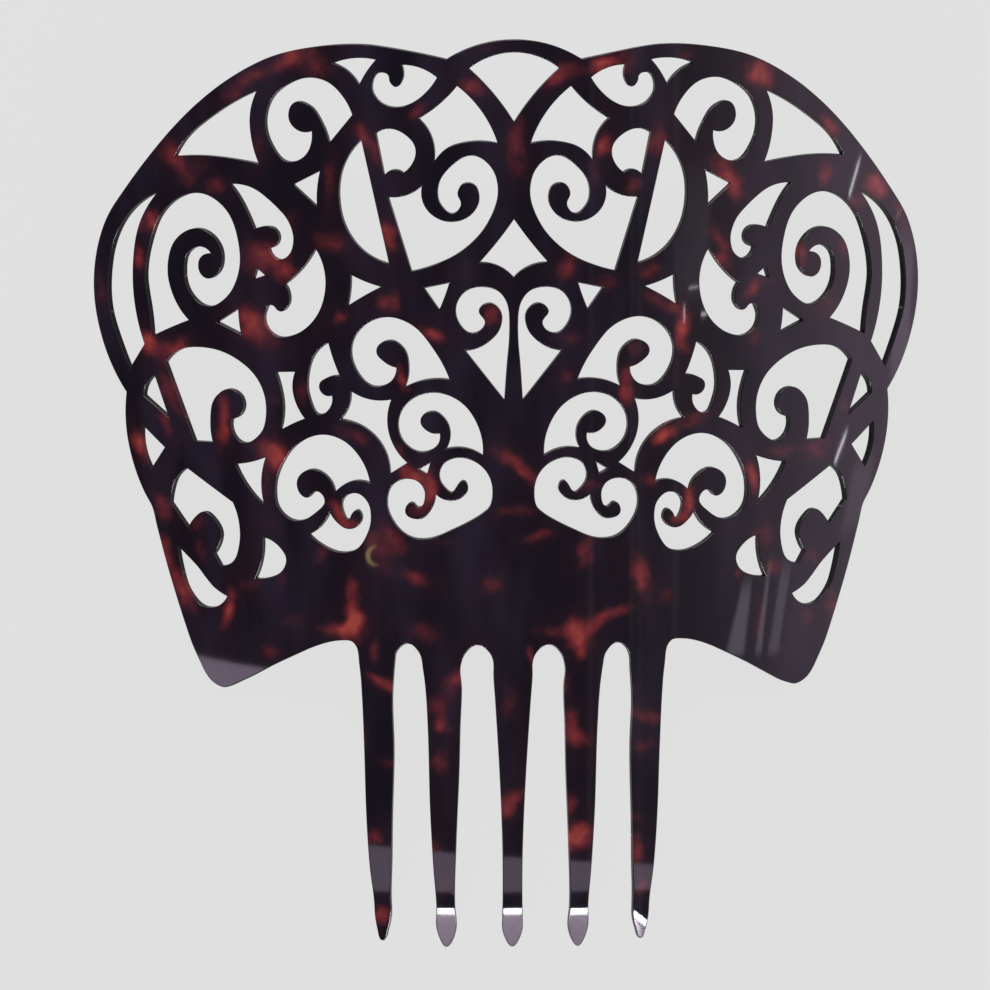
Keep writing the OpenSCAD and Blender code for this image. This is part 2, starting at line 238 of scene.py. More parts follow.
def facet_share(d):
    """Share of the full slope at a distance d past a facet's start."""
    s = np.clip(d / FACET_BEND, 0, 1)
    return s * s * (3 - 2 * s)


def facet_fall(d):
    """How deep the facet lies at a distance d past its start, in mm."""
    s = np.clip(d / FACET_BEND, 0, 1)
    bent = FACET_BEND * (s**3 - s**4 / 2)
    return math.tan(FACET_ANGLE) * (bent + np.maximum(d - FACET_BEND, 0))


def facet_at(u, v):
    """Depth of the facets, the share of their slope, and its direction in u and v."""
    depth = np.zeros(len(u))
    share = np.zeros(len(u))
    to_u = np.zeros(len(u))
    to_v = np.zeros(len(u))
    for middle, start, turn in FACETS:
        near = (np.abs(u - middle) < TOOTH_HALF) & (v < start + TOOTH_HALF)
        k = math.radians(turn)
        d = (start - v) * math.cos(k) - (u - middle) * math.sin(k)
        depth = np.where(near, facet_fall(d), depth)
        share = np.where(near, facet_share(d), share)
        to_u = np.where(near, -math.sin(k), to_u)
        to_v = np.where(near, -math.cos(k), to_v)
    return depth, share, to_u, to_v


# Fine mesh of the comb
STEP = 0.85
BEND_STEP = math.radians(7)
GRID = 0.92
ROW_GAP = GRID * 0.87
CLEAR_GAP = 0.55 * GRID
SAME_SPOT = 1e-7
MITER = 2.5
LEAST_SHARE = 0.05
# rings down one rounded rim below its edge with the face: how far in and how deep, as shares of it
RIM_RINGS = ((0.293, 0.293), (0.0, 1.0))
# how far the surface has turned from its face to the wall at each ring, in half turns
RING_TURNS = (0.0, 0.25, 0.5, 0.5, 0.25, 0.0)
# how much a ring counts as wall: all of it at full depth, half on the rounding
ON_WALL = 1.0
ON_RIM = 0.5


def inset_lines(points, marks):
    """For each point of a closed line: its inset direction and the wall's directions there."""
    ahead = np.roll(points, -1, 0) - points
    ahead /= np.linalg.norm(ahead, axis=1)[:, None]
    left = np.stack([-ahead[:, 1], ahead[:, 0]], -1)
    before = np.roll(left, 1, 0)
    both = left + before
    inset = both / np.maximum(1 + (left * before).sum(1), LEAST_SHARE)[:, None]
    size = np.linalg.norm(inset, axis=1)
    inset *= (np.minimum(size, MITER) / np.maximum(size, TINY))[:, None]
    mean = both / np.maximum(np.linalg.norm(both, axis=1), TINY)[:, None]
    leaving = np.where(marks[:, None], left, mean)
    arriving = np.where(marks[:, None], before, mean)
    return inset, arriving, leaving


def fill(lines):
    """Triangles between closed lines, with a grid of points inside."""
    points = np.concatenate(lines)
    near = kdtree.KDTree(len(points))
    for i, p in enumerate(points):
        near.insert((p[0], p[1], 0.0), i)
    near.balance()
    ends = np.concatenate([np.roll(line, -1, 0) for line in lines])
    inside = []
    low, high = points[:, 1].min(), points[:, 1].max()
    rows = np.arange(low + GRID / 2, high, ROW_GAP)
    for k, v in enumerate(rows):
        crossed = (points[:, 1] > v) != (ends[:, 1] > v)
        p, q = points[crossed], ends[crossed]
        us = np.sort(p[:, 0] + (v - p[:, 1]) / (q[:, 1] - p[:, 1]) * (q[:, 0] - p[:, 0]))
        shift = GRID / 2 if k % 2 else 0.0
        for a, b in zip(us[::2], us[1::2]):
            for u in np.arange(math.ceil((a - shift) / GRID) * GRID + shift, b, GRID):
                if near.find((u, v, 0.0))[2] > CLEAR_GAP:
                    inside.append((u, v))
    spots = [Vector(p) for p in points] + [Vector(p) for p in inside]
    edges = []
    first = 0
    for line in lines:
        n = len(line)
        edges += [(first + i, first + (i + 1) % n) for i in range(n)]
        first += n
    out = geometry.delaunay_2d_cdt(spots, edges, [], 0, SAME_SPOT)
    flat = np.array([p[:] for p in out[0]])
    triangles = [tuple(t) for t in out[2]]
    same = {}
    for new, olds in enumerate(out[3]):
        for old in olds:
            same[old] = new
    walls = set()
    for p, q in edges:
        walls.add((same[p], same[q]))
    holder = {}
    for i, (a, b, c) in enumerate(triangles):
        holder[(a, b)] = holder[(b, c)] = holder[(c, a)] = i
    stack = [holder[w] for w in walls if w in holder]
    taken = set(stack)
    while stack:
        a, b, c = triangles[stack.pop()]
        for p, q in ((a, b), (b, c), (c, a)):
            if (p, q) in walls or (q, p) in walls:
                continue
            t = holder.get((q, p))
            if t is not None and t not in taken:
                taken.add(t)
                stack.append(t)
    return flat, [triangles[i] for i in sorted(taken)], same


def shell_of_comb(lines):
    """The whole comb as one mesh, with directions at its corners and what its material needs."""
    rings = [inset_lines(points, marks) for points, marks in lines]
    inner = [points + RIM * inset for (points, _), (inset, _, _) in zip(lines, rings)]
    flat, triangles, same = fill(inner)
    n = len(flat)
    fall, share, to_u, to_v = facet_at(flat[:, 0], flat[:, 1])
    spots = [flat, flat]
    depths = [fall, np.full(n, SHEET)]
    runs = [np.zeros(2 * n)]
    walls = [np.zeros(2 * n)]
    steep = FACET_ANGLE * share
    front = turned(flat[:, 0], np.sin(steep) * to_u, np.sin(steep) * to_v, np.cos(steep))
    back = turned(flat[:, 0], 0.0, 0.0, -1.0)
    faces = list(triangles)
    ways = [(front[a], front[b], front[c]) for a, b, c in triangles]
    faces += [(n + c, n + b, n + a) for a, b, c in triangles]
    ways += [(back[c], back[b], back[a]) for a, b, c in triangles]
    count = 2 * n
    first = 0
    for (points, _), (inset, arriving, leaving) in zip(lines, rings):
        m = len(points)
        top = np.array([same[first + i] for i in range(m)])
        first += m
        run = np.concatenate([[0], np.cumsum(np.linalg.norm(np.diff(points, axis=0), axis=1))])
        columns = [top]
        u = points[:, 0]
        lean_a = turned(u, -arriving[:, 0], -arriving[:, 1], 0.0)
        lean_l = turned(u, -leaving[:, 0], -leaving[:, 1], 0.0)
        levels = [(k, d, False) for k, d in RIM_RINGS]
        levels += [(k, d, True) for k, d in reversed(RIM_RINGS)]
        for k, d, below in levels:
            at = points + RIM * k * inset
            spots.append(at)
            ring_fall = facet_at(at[:, 0], at[:, 1])[0]
            depths.append(np.full(m, SHEET - RIM * d) if below else ring_fall + RIM * d)
            runs.append(run)
            walls.append(np.full(m, ON_WALL if k == 0 else ON_RIM))
            columns.append(np.arange(count, count + m))
            count += m
        columns.append(top + n)
        sides = [front[top]] * 3 + [back[top]] * 3
        blends = []
        for lean, side in zip(RING_TURNS, sides):
            c, s = math.cos(lean * math.pi), math.sin(lean * math.pi)
            blends.append((c * side + s * lean_a, c * side + s * lean_l))
        for i in range(m):
            j = (i + 1) % m
            for k in range(len(columns) - 1):
                faces.append(
                    (columns[k + 1][i], columns[k + 1][j], columns[k][j], columns[k][i])
                )
                ways.append(
                    (blends[k + 1][1][i], blends[k + 1][0][j], blends[k][0][j], blends[k][1][i])
                )
    flat_all = np.concatenate(spots)
    depth_all = np.concatenate(depths)
    return flat_all, depth_all, faces, ways, np.concatenate(runs), np.concatenate(walls)


# Mottling: red-brown clouds in the near-black sheet, placed after the photograph.
# Columns: u, v, half length, half width, turn from +u in degrees, strength
LEFT_CREST = (
    (-61.5, 128.5, 6, 2.2, 35, 1.0), (-52, 133, 6, 2.5, 15, 0.8), (-44.5, 131.3, 4, 2.5, 0, 0.4),
    (-79, 109, 6, 3, -50, 0.6), (-73, 108.4, 2.5, 2.5, 0, 0.35), (-69.3, 103, 3, 2.5, 0, 0.4),
    (-86, 95, 3.5, 2.5, 30, 0.7), (-89, 86.6, 3.5, 1.8, 90, 0.7), (-57, 87.5, 5, 4, 0, 0.75),
    (-52.5, 84.5, 3, 2, 0, 0.6), (-59.5, 72, 5.5, 3.5, -50, 1.0), (-86, 67, 3, 3, 0, 1.0),
    (-79.5, 66.8, 4.5, 1.5, 10, 0.7), (-82, 64, 3, 3, 0, 0.5), (-99.6, 79, 5, 2, 90, 0.35),
    (-59, 113, 6, 2, 90, 0.25), (-33, 114.5, 5.5, 2, -55, 0.8), (-28, 92.7, 3.5, 1.8, -75, 0.7),
    (-41.5, 106, 6, 1.8, 90, 0.35), (-41.4, 92, 4.5, 2.5, 0, 0.35), (-9, 127.7, 3.5, 2, -20, 1.0),
    (-22, 122, 3, 1.5, 35, 0.5), (-7, 135.6, 4, 1.2, 15, 0.3), (-28.6, 78.4, 2.8, 2.8, 0, 0.7),
    (-39.6, 75, 1.8, 1.8, 0, 0.4), (-18.6, 71.3, 2.5, 2, -40, 0.85), (-5, 75.6, 2.5, 2.5, 0, 0.5),
    (-25.5, 61, 3, 1.5, 90, 0.6), (-12, 85.6, 3, 2, 0, 0.2), (-50.7, 96.3, 3, 2, 90, 0.25),
)
LEFT_BAND = (
    (-80.5, 55, 6, 2, -60, 0.65), (-83, 48.5, 3, 1.5, -55, 0.6), (-89, 43, 4.5, 2, -65, 0.8),
    (-67.5, 50, 6, 2, 85, 0.85), (-56, 42.5, 4.5, 2.8, -50, 1.0), (-57, 36, 4, 1.5, 90, 0.4),
    (-48.6, 57, 4, 1.5, 90, 0.4), (-55, 55.6, 2.5, 2, 0, 0.25), (-36.4, 48, 4, 2, -25, 0.5),
    (-83.8, 30, 4.5, 2, -60, 0.6), (-82, 18.5, 5, 1.8, -70, 0.7), (-78, 11, 6, 2, -65, 0.7),
    (-66.5, 6.5, 4.5, 1.8, 75, 0.8), (-73.6, 26, 2.5, 2.5, 0, 0.35), (-73, 19.6, 3, 2, 90, 0.3),
    (-60.7, 13, 2.5, 2, 0, 0.3), (-54.3, 13, 3.5, 1.5, 90, 0.35), (-56.4, 26.7, 3, 2, 0, 0.3),
    (-43.6, 20.3, 2, 2, 0, 0.4), (-50, 4.2, 3, 2, 0, 0.4), (-56, -3.3, 2.5, 2, 0, 0.5),
    (-36.5, 5.5, 4.5, 2.3, 90, 1.0), (-38.5, 3.5, 5, 1.8, 10, 0.9), (-37, 12.4, 3, 1.5, 90, 0.5),
    (-30.5, 24.5, 5, 3.5, 90, 0.8), (-27, 21.7, 2.5, 2.5, 0, 0.5), (-29.3, 17.4, 3, 2.5, 0, 0.4),
    (-22.5, 15, 4, 2, -20, 0.6), (-20.5, 2.5, 5, 2, -25, 0.4), (-5, 14, 3, 2.2, 0, 0.6),
    (-25.7, 44.6, 2.5, 1.5, -50, 0.5), (-22.5, 39, 5, 2.5, -25, 0.9), (-19.3, 35, 4.5, 2, 90, 0.8),
    (-21.4, 30.3, 2, 1.5, 0, 0.5), (-40, 29.5, 3.5, 2, -50, 0.7), (-37, 27, 2.5, 1.5, 0, 0.6),
    (-16.4, 24.6, 4, 1, 0, 0.3), (-31.4, -1, 3, 1.5, 90, 0.4),
)
MIDDLE = (
    (0, 116, 4, 2.5, 90, 0.5), (0, 111, 5, 3, 90, 0.4), (-1, 44, 4, 2, -15, 0.6),
    (2.5, 40.5, 5, 2, -50, 0.6), (0.6, 31, 5, 1.5, 0, 0.35), (4.9, 24.6, 4, 1.5, 15, 0.4),
)
RIGHT_CREST = (
    (10, 129.5, 5, 2, 25, 0.7), (20, 133, 4.5, 1.5, 25, 0.7), (26.3, 133, 3, 3, 0, 0.4),
    (40, 135, 4, 1.5, 0, 0.3), (57.5, 129.5, 3.5, 3, 0, 1.0), (20, 113.2, 2.8, 2, 90, 0.9),
    (17.7, 107.7, 3, 2, 90, 0.4), (32, 115, 4, 1.8, 75, 1.0), (27.7, 105, 2.2, 2.2, 0, 0.5),
    (50.5, 106, 6, 3, -60, 0.8), (76, 115.8, 3.5, 1.8, -40, 0.7), (74.5, 106, 3.5, 2.2, 90, 0.55),
    (88.5, 102.5, 4, 2.5, -15, 0.9), (82.7, 99, 3, 2, 0, 0.4), (47.5, 92, 5, 2, -65, 0.5),
    (47.7, 87, 2.5, 2, 0, 0.5), (56, 80, 3.5, 2, 50, 0.9), (12, 86.5, 3.5, 2.5, 90, 0.55),
    (31.3, 85.6, 2.5, 2.5, 0, 0.4), (20.6, 82.7, 2.5, 2, 0, 0.4), (33.4, 78.4, 4, 2, -35, 0.5),
    (37, 75.6, 2.5, 2, 0, 0.6), (39.5, 71.5, 4.5, 1.8, 90, 0.9), (27.7, 67.4, 2.5, 2.5, 0, 0.4),
    (25.6, 62, 2.5, 1.5, 90, 0.5), (67.5, 88.5, 3.5, 1.5, 90, 0.6), (80, 89, 3, 2, 90, 0.45),
    (60, 82, 3, 2, 0, 0.3), (56.3, 69, 2, 2, 0, 0.4), (12, 70.6, 2.5, 2, 0, 0.5),
    (11.5, 61.5, 2.2, 2.2, 0, 0.4), (75.6, 75.6, 4, 3, 0, 0.3), (95.6, 95.6, 4, 2, -60, 0.3),
)
RIGHT_BAND = (
    (16.5, 21, 4, 2, 80, 0.6), (30, 14.5, 4.5, 2.2, -75, 0.85), (35.6, 10.3, 2, 2, 0, 0.35),
    (14.5, 2.5, 3.5, 3, 0, 1.0), (21, 6, 6, 1.5, 25, 0.6), (7.7, 3, 3, 1.5, 0, 0.4),
    (15.2, -1, 2.5, 2, 90, 0.7), (25.8, 57.5, 3.5, 1.8, 80, 0.7), (34.5, 47.5, 4, 2, 35, 0.95),
    (42.5, 51.5, 4, 2, 25, 0.5), (31.3, 37.4, 2.2, 2.2, 0, 0.5), (40.2, 32, 3.5, 1.8, 80, 0.95),
    (38.4, 28, 2.5, 1.5, 0, 0.6), (56.5, 37.5, 4, 1.8, -80, 1.0), (80, 52.4, 2.2, 2.2, 0, 0.4),
    (63.4, 42.4, 3.5, 1.5, 0, 0.35), (72.7, 43, 5, 3, 0, 0.4), (59, 23, 4, 3, 90, 0.35),
    (61.6, 16, 2.5, 2, 0, 0.4), (71.6, 18, 2.2, 2.2, 0, 0.5), (58.4, 4, 4, 1.2, 90, 0.5),
    (70, 4.6, 3, 2, 90, 0.5), (77, 6, 4, 2, 90, 0.4), (65.6, -4, 4, 2, 0, 0.25),
    (52.7, 16, 1.5, 1.5, 0, 0.4), (17, 36, 3, 1.5, 0, 0.4),
)
TEETH = (
    (-30.5, -9, 4.5, 1.3, -30, 0.7), (-33.3, -21, 3, 1, 90, 0.35), (-28.3, -27, 2.5, 1.5, 0, 0.3),
    (-32, -45.6, 2.2, 2, 0, 0.55), (-30.3, -62.5, 2.5, 2, 0, 0.8), (-13.5, -8.3, 4, 2, 70, 0.85),
    (-17, -14, 3, 2.5, 0, 0.5), (-15.8, -18.6, 2.5, 2, 90, 0.75), (-16.7, -27, 2.2, 2, 0, 0.45),
    (-17.8, -46.7, 2, 2, 0, 0.35), (-15.3, -56, 2, 2, 0, 0.3), (-1, -36.8, 4.5, 2, 40, 0.85),
    (-1, -14, 4, 3, 90, 0.3), (4, -2.8, 2.5, 1, 90, 0.5), (12.2, -9.5, 3, 1.2, 90, 0.45),
    (13.3, -19, 4.5, 2.5, -60, 0.7), (15.6, -22, 2.5, 2, 0, 0.55), (12.8, -36.7, 3, 1.5, 90, 0.4),
    (15, -44.4, 4, 3, 10, 1.0), (30.6, -16.7, 4, 1.8, -20, 0.75), (27.5, -10.6, 2, 1.5, 0, 0.35),
    (30.6, -23.3, 2.5, 2, 0, 0.4), (28.2, -48.3, 4, 1.8, 90, 0.5), (30.6, -56.7, 2, 1.5, 0, 0.5),
    (28.3, -41, 2.5, 1.5, 0, 0.3),
)
CLOUDS = LEFT_CREST + LEFT_BAND + MIDDLE + RIGHT_CREST + RIGHT_BAND + TEETH
# size and reach, in mm, of the two waves that fray a cloud's edge
FRAYS = ((6.0, 1.6), (2.4, 0.6))
FRAY_SEED = 31.7
# how far from its middle, in half lengths, a cloud is full and where it ends; then its faint halo
CLOUD_CORE = 0.1
CLOUD_EDGE = 1.5
HALO_REACH = 2.3
HALO_SHARE = 0.22


def frayed(u, v):
    """The same places moved a little, by smooth noise."""
    moved = np.stack([u, v], -1).astype(float)
    for size, reach in FRAYS:
        for axis in (0, 1):
            seed = FRAY_SEED * (axis + 1) + size
            wave = [noise.noise((p / size, q / size, seed)) for p, q in zip(u, v)]
            moved[:, axis] += reach * np.array(wave)
    return moved[:, 0], moved[:, 1]


def mottling(u, v):
    """How red-brown the sheet is, from 0 to 1."""
    u, v = frayed(u, v)
    clear = np.ones(len(u))
    halo = np.zeros(len(u))
    for mid_u, mid_v, long, wide, turn, strength in CLOUDS:
        c, s = math.cos(math.radians(turn)), math.sin(math.radians(turn))
        along = ((u - mid_u) * c + (v - mid_v) * s) / long
        across = ((v - mid_v) * c - (u - mid_u) * s) / wide
        far = np.sqrt(along**2 + across**2)
        k = np.clip((CLOUD_EDGE - far) / (CLOUD_EDGE - CLOUD_CORE), 0, 1)
        clear *= 1 - strength * k * k * (3 - 2 * k)
        halo = np.maximum(halo, strength * np.exp(-((far / HALO_REACH) ** 2)))
    return 1 - clear * (1 - HALO_SHARE * halo)


def give(mesh, name, values):
    layer = mesh.attributes.new(name, "FLOAT", "POINT")
    layer.data.foreach_set("value", np.asarray(values, np.float32))


def comb_object():
    lines = [smoothed(thinned(line, STRAIGHT), STEP, BEND_STEP) for line in face_loops()]
    flat, depth, faces, ways, runs, walls = shell_of_comb(lines)
    spots = place(flat[:, 0], flat[:, 1], depth) * MM
    mesh = bpy.data.meshes.new("comb_shell")
    mesh.from_pydata(spots.tolist(), [], faces)
    mesh.polygons.foreach_set("use_smooth", [True] * len(mesh.polygons))
    on_wall = [int(len(f) == 4 and min(walls[list(f)]) == ON_WALL) for f in faces]
    mesh.polygons.foreach_set("material_index", on_wall)
    corners = np.array([w for group in ways for w in group])
    corners /= np.linalg.norm(corners, axis=1)[:, None]
    mesh.normals_split_custom_set(corners.tolist())
    share = facet_at(flat[:, 0], flat[:, 1])[1]
    give(mesh, "mottling", mottling(flat[:, 0], flat[:, 1]))
    give(mesh, "facet", share * (depth < SHEET / 2))
    give(mesh, "run", runs * MM)
    give(mesh, "depth", depth * MM)
    mesh.update()
    piece = bpy.data.objects.new("comb_shell", mesh)
    bpy.context.scene.collection.objects.link(piece)
    print("comb_shell:", len(lines), "lines,", len(spots), "points,", len(faces), "faces")
    return piece


# Materials
class Nodes:
    """Short ways to add and join a material's nodes."""

    def __init__(self, tree):
        self.tree = tree
        tree.nodes.clear()

    def add(self, kind, sockets=None, **settings):
        n = self.tree.nodes.new(kind)
        for key, value in settings.items():
            setattr(n, key, value)
        for key, value in (sockets or {}).items():
            if isinstance(value, bpy.types.NodeSocket):
                self.tree.links.new(value, n.inputs[key])
            else:
                n.inputs[key].default_value = value
        return n

    def attribute(self, name):
        return self.add("ShaderNodeAttribute", attribute_name=name).outputs["Fac"]

    def maths(self, operation, a, b=0.0, c=0.0, clamp=False):
        sockets = {0: a, 1: b, 2: c}
        return self.add("ShaderNodeMath", sockets, operation=operation, use_clamp=clamp).outputs[0]

    def noise(self, vector, scale, detail, roughness):
        sockets = {"Vector": vector, "Scale": scale, "Detail": detail, "Roughness": roughness}
        return self.add("ShaderNodeTexNoise", sockets).outputs["Fac"]

    def stretched(self, vector, scale, shift=(0.0, 0.0, 0.0)):
        sockets = {"Vector": vector, "Location": shift, "Scale": scale}
        return self.add("ShaderNodeMapping", sockets).outputs[0]

    def ramp(self, factor, stops):
        n = self.add("ShaderNodeValToRGB", {"Fac": factor})
        stops_in = n.color_ramp.elements
        while len(stops_in) < len(stops):
            stops_in.new(0.5)
        for element, (at, colour) in zip(stops_in, stops):
            element.position = at
            element.color = (*colour, 1.0)
        return n.outputs["Color"]

    def mix(self, factor, a, b):
        n = self.add("ShaderNodeMix", data_type="RGBA")
        for socket, value in zip((n.inputs[0], n.inputs[6], n.inputs[7]), (factor, a, b)):
            if isinstance(value, bpy.types.NodeSocket):
                self.tree.links.new(value, socket)
            else:
                socket.default_value = value if isinstance(value, float) else (*value, 1.0)
        return n.outputs[2]

    def between(self, value, low, high):
        """0 below low, 1 above high, smooth in between."""
        n = self.add("ShaderNodeMapRange", {0: value, 1: low, 2: high})
        n.interpolation_type = "SMOOTHSTEP"
        return n.outputs[0]


# Colours of the sheet against how red-brown it is, then of scratched facets with painted sheen, and
# of painted bluish reflection streaks
TORTOISESHELL = (
    (0.0, (0.0036, 0.0026, 0.0056)),
    (0.2, (0.0135, 0.0044, 0.0076)),
    (0.42, (0.052, 0.0088, 0.0118)),
    (0.7, (0.145, 0.0185, 0.0205)),
    (0.9, (0.24, 0.036, 0.030)),
    (1.0, (0.31, 0.05, 0.036)),
)
FACET_SCRATCH_AND_SHEEN_GREY = (0.095, 0.07, 0.098)
# painted reflection: a pale bluish tint laid over the sheet in long streaks up it
PAINTED_STREAK_COLOUR = (0.0155, 0.011, 0.021)
# noises: scale, detail and roughness
WISPS = (330.0, 3.0, 0.5)
GRAIN = (1500.0, 2.0, 0.5)
HAZE = (95.0, 3.0, 0.55)
PAINTED_STREAK_NOISE = (110.0, 3.0, 0.5)
ROLLED = (170.0, 2.0, 0.5)
WAVES = (24.0, 1.0, 0.4)
# how noises that run up the sheet are stretched
HAZE_STRETCH = (1.0, 0.28, 1.0)
PAINTED_STREAK_STRETCH = (1.0, 0.22, 1.0)
PAINTED_STREAK_SHIFT = (0.3, 0.1, 0.0)
ROLL_STRETCH = (1.0, 0.1, 0.3)
# how much of each noise shows
WISP_SWING = 0.7
GRAIN_SWING = 0.12
HAZE_SHARE = 0.16
PAINTED_STREAK_SHARE = 0.8
POLISH = 0.03
FACET_ROUGHNESS = 0.05


def tortoiseshell():
    material = bpy.data.materials.new("tortoiseshell")
    material.use_nodes = True
    n = Nodes(material.node_tree)
    here = n.add("ShaderNodeTexCoord").outputs["Object"]
    cloud = n.attribute("mottling")
    wisps = n.noise(here, *WISPS)
    grain = n.noise(here, *GRAIN)
    haze = n.noise(n.stretched(here, HAZE_STRETCH), *HAZE)
    painted_streaks = n.noise(n.stretched(here, PAINTED_STREAK_STRETCH, PAINTED_STREAK_SHIFT), *PAINTED_STREAK_NOISE)
    # wisps break up the clouds, and faint haze runs up and down the dark sheet
    broken = n.maths("MULTIPLY_ADD", wisps, WISP_SWING, -WISP_SWING / 2)
    fine = n.maths("MULTIPLY_ADD", grain, GRAIN_SWING, -GRAIN_SWING / 2)
    swing = n.maths("MULTIPLY", n.maths("ADD", broken, fine), n.between(cloud, 0.02, 0.4))
    body = n.maths("ADD", cloud, swing)
    dim = n.maths("MULTIPLY", n.between(haze, 0.5, 0.8), HAZE_SHARE)
    amount = n.maths("ADD", body, dim, clamp=True)
    colour = n.ramp(amount, TORTOISESHELL)
    # painted reflection streaks: a pale bluish tint mixed into the base colour in long streaks up
    # the sheet
    painted_streak_mix = n.maths("MULTIPLY", n.between(painted_streaks, 0.4, 0.72), PAINTED_STREAK_SHARE)
    colour = n.mix(painted_streak_mix, colour, PAINTED_STREAK_COLOUR)
    # the tip facets are greyed in the base colour: partly grinding scratches, partly painted sheen
    facet = n.attribute("facet")
    scratch_and_sheen = n.maths("MULTIPLY", facet, n.maths("MULTIPLY_ADD", wisps, 0.6, 0.55), clamp=True)
    colour = n.mix(scratch_and_sheen, colour, FACET_SCRATCH_AND_SHEEN_GREY)
    # rolling lines run up the sheet, and long waves make its mirror images swim
    rolled = n.noise(n.stretched(here, ROLL_STRETCH), *ROLLED)
    waves = n.noise(here, *WAVES)
    long_bump = n.add("ShaderNodeBump", {"Strength": 0.6, "Distance": 0.00006, "Height": waves})
    fine_bump = n.add(
        "ShaderNodeBump",
        {"Strength": 0.5, "Distance": 0.00001, "Height": rolled, "Normal": long_bump.outputs[0]},
    )
    shader = n.add(
        "ShaderNodeBsdfPrincipled",
        {
            "Base Color": colour,
            "Roughness": n.maths("MULTIPLY_ADD", facet, FACET_ROUGHNESS, POLISH),
            "IOR": 1.49,
            "Normal": fine_bump.outputs[0],
        },
    )
    n.add("ShaderNodeOutputMaterial", {"Surface": shader.outputs[0]})
    return material


# painted glints: a pale colour for patches along the walls, and the noise that places those patches
PAINTED_WALL_GLINT = (0.4, 0.36, 0.43)
SAW = (1500.0, 2.0, 0.6)
PAINTED_GLINT_PATCHES = (260.0, 2.0, 0.5)
DEPTH_SHARE = 0.15


def sawn_edge_and_painted_glints():
    """The walls of the openings: the same sheet, dulled by saw marks across it, with painted glints
    in pale patches along it.
    """
    material = bpy.data.materials.new("sawn_edge_and_painted_glints")
    material.use_nodes = True
    n = Nodes(material.node_tree)
    run = n.attribute("run")
    depth = n.attribute("depth")
    plain = n.ramp(n.attribute("mottling"), TORTOISESHELL)
    along = n.add("ShaderNodeCombineXYZ", {0: run, 1: n.maths("MULTIPLY", depth, DEPTH_SHARE)})
    saw = n.noise(along.outputs[0], *SAW)
    # painted glints: pale patches mixed into the walls' base colour
    painted_glint_patches = n.noise(along.outputs[0], *PAINTED_GLINT_PATCHES)
    colour = n.mix(n.between(painted_glint_patches, 0.64, 0.74), plain, PAINTED_WALL_GLINT)
    bump = n.add("ShaderNodeBump", {"Strength": 0.9, "Distance": 0.0004, "Height": saw})
    shader = n.add(
        "ShaderNodeBsdfPrincipled",
        {
            "Base Color": colour,
            "Roughness": 0.3,
            "IOR": 1.45,
            "Specular IOR Level": 0.06,
            "Normal": bump.outputs[0],
        },
    )
    n.add("ShaderNodeOutputMaterial", {"Surface": shader.outputs[0]})
    return material


# Camera
def camera_frame():
    """Place in mm and turn of the camera, in the frame."""
    seen = (
        Matrix.Rotation(ROLL, 3, "Z") @ Matrix.Rotation(PITCH, 3, "X") @ Matrix.Rotation(YAW, 3, "Y")
    )
    lean = Matrix.Rotation(TILT, 3, "X")
    spot = lean @ (seen.transposed() @ Vector((-AIM[0], -AIM[1], DISTANCE)))
    return spot + Vector((0, -MID_Y, LIFT)), (seen @ lean.transposed()).transposed()


CAMERA_SPOT, CAMERA_TURN = camera_frame()


def make_camera():
    data = bpy.data.cameras.new("camera")
    data.lens = LENS
    data.sensor_width = SENSOR
    data.clip_end = 20
    camera = bpy.data.objects.new("camera", data)
    camera.matrix_world = Matrix.Translation(CAMERA_SPOT * MM) @ CAMERA_TURN.to_4x4()
    bpy.context.scene.collection.objects.link(camera)
    bpy.context.scene.camera = camera


# Light cards, hung where the camera sees them mirrored at named places of the sheet
CARD_HEIGHT = 260.0
CARD_STEPS = 14


def mirrored(u, v, slope, turn):
    """Where the camera's ray, mirrored at a place of the sheet, meets the height of the cards."""
    spot = place(np.array([u]), np.array([v]), 0.0)[0]
    steep, k = math.radians(slope), math.radians(turn)
    lean = (-math.sin(steep) * math.sin(k), -math.sin(steep) * math.cos(k))
    out = turned(np.array([u]), lean[0], lean[1], math.cos(steep))[0]
    eye = np.array(CAMERA_SPOT)
    ray = unit(spot - eye)
    back = ray - 2 * (ray @ out) * out
    return spot + back * (CARD_HEIGHT - spot[2]) / back[2]


def glow_material(name, colour, power):
    """Light that is added to what is behind it, fading with the card's own glow."""
    material = bpy.data.materials.new(name)
    material.use_nodes = True
    n = Nodes(material.node_tree)
    strength = n.maths("MULTIPLY", n.attribute("glow"), power)
    lit = n.add("ShaderNodeEmission", {"Color": (*colour, 1.0), "Strength": strength})
    clear = n.add("ShaderNodeBsdfTransparent")
    both = n.add("ShaderNodeAddShader", {0: lit.outputs[0], 1: clear.outputs[0]})
    n.add("ShaderNodeOutputMaterial", {"Surface": both.outputs[0]})
    return material


def quad(ll, lr, ur, ul):
    """A four-cornered patch; corners: u, v and, where a facet leans, its slope and turn."""
    a, b, c, d = (np.array(tuple(p) + (0.0,) * (4 - len(p))) for p in (ll, lr, ur, ul))
    return lambda s, t: (1 - s) * (1 - t) * a + s * (1 - t) * b + s * t * c + (1 - s) * t * d


def arc(u, v, radius, width, start, end):
    """A patch bent round (u, v), thickest half way along, between two directions in degrees."""

    def spot(s, t):
        here = math.radians(start + (end - start) * s)
        r = radius + width * math.sin(math.pi * s) * (t - 0.5)
        return u + r * math.cos(here), v + r * math.sin(here), 0.0, 0.0

    return spot


